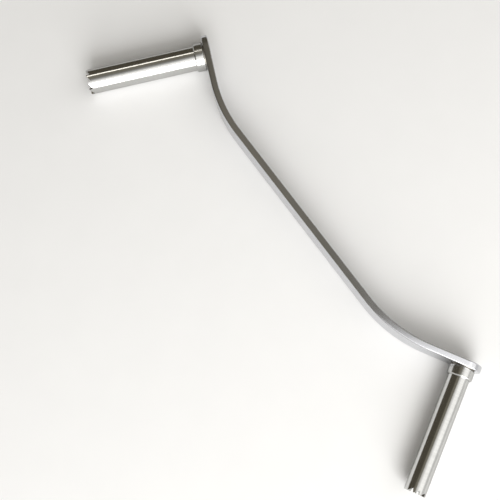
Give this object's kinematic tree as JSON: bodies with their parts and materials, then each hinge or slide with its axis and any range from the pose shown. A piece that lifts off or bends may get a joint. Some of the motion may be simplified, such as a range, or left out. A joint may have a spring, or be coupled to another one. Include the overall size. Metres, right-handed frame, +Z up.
{
  "type": "double-ended toothed drill guide",
  "caption": "Cranked flat-bar handle with a toothed guide sleeve of a different bore brazed square to each end.",
  "frame": {"origin": "the middle of the bar's lower edge, on the surface that the guide lies on", "axes": "+X along the straight middle of the bar from the large sleeve to the small one, +Y away from the sleeves, +Z up from the surface that the guide lies on"},
  "size_m": [0.2197, 0.0582, 0.012],
  "materials": {
    "bar_steel": "satin stainless steel, brushed along the bar",
    "sleeve_steel": "fine-turned satin stainless steel tube",
    "collar_steel": "turned satin stainless steel",
    "braze_metal": "dressed silver braze"
  },
  "bodies": {
    "root": {"handle_bar": "bar_steel", "large_sleeve": "sleeve_steel", "small_sleeve": "sleeve_steel", "large_collar": "collar_steel", "small_collar": "collar_steel", "large_collar_braze": "braze_metal", "small_collar_braze": "braze_metal", "large_eye_braze": "braze_metal", "small_eye_braze": "braze_metal"}
  },
  "joints": []
}
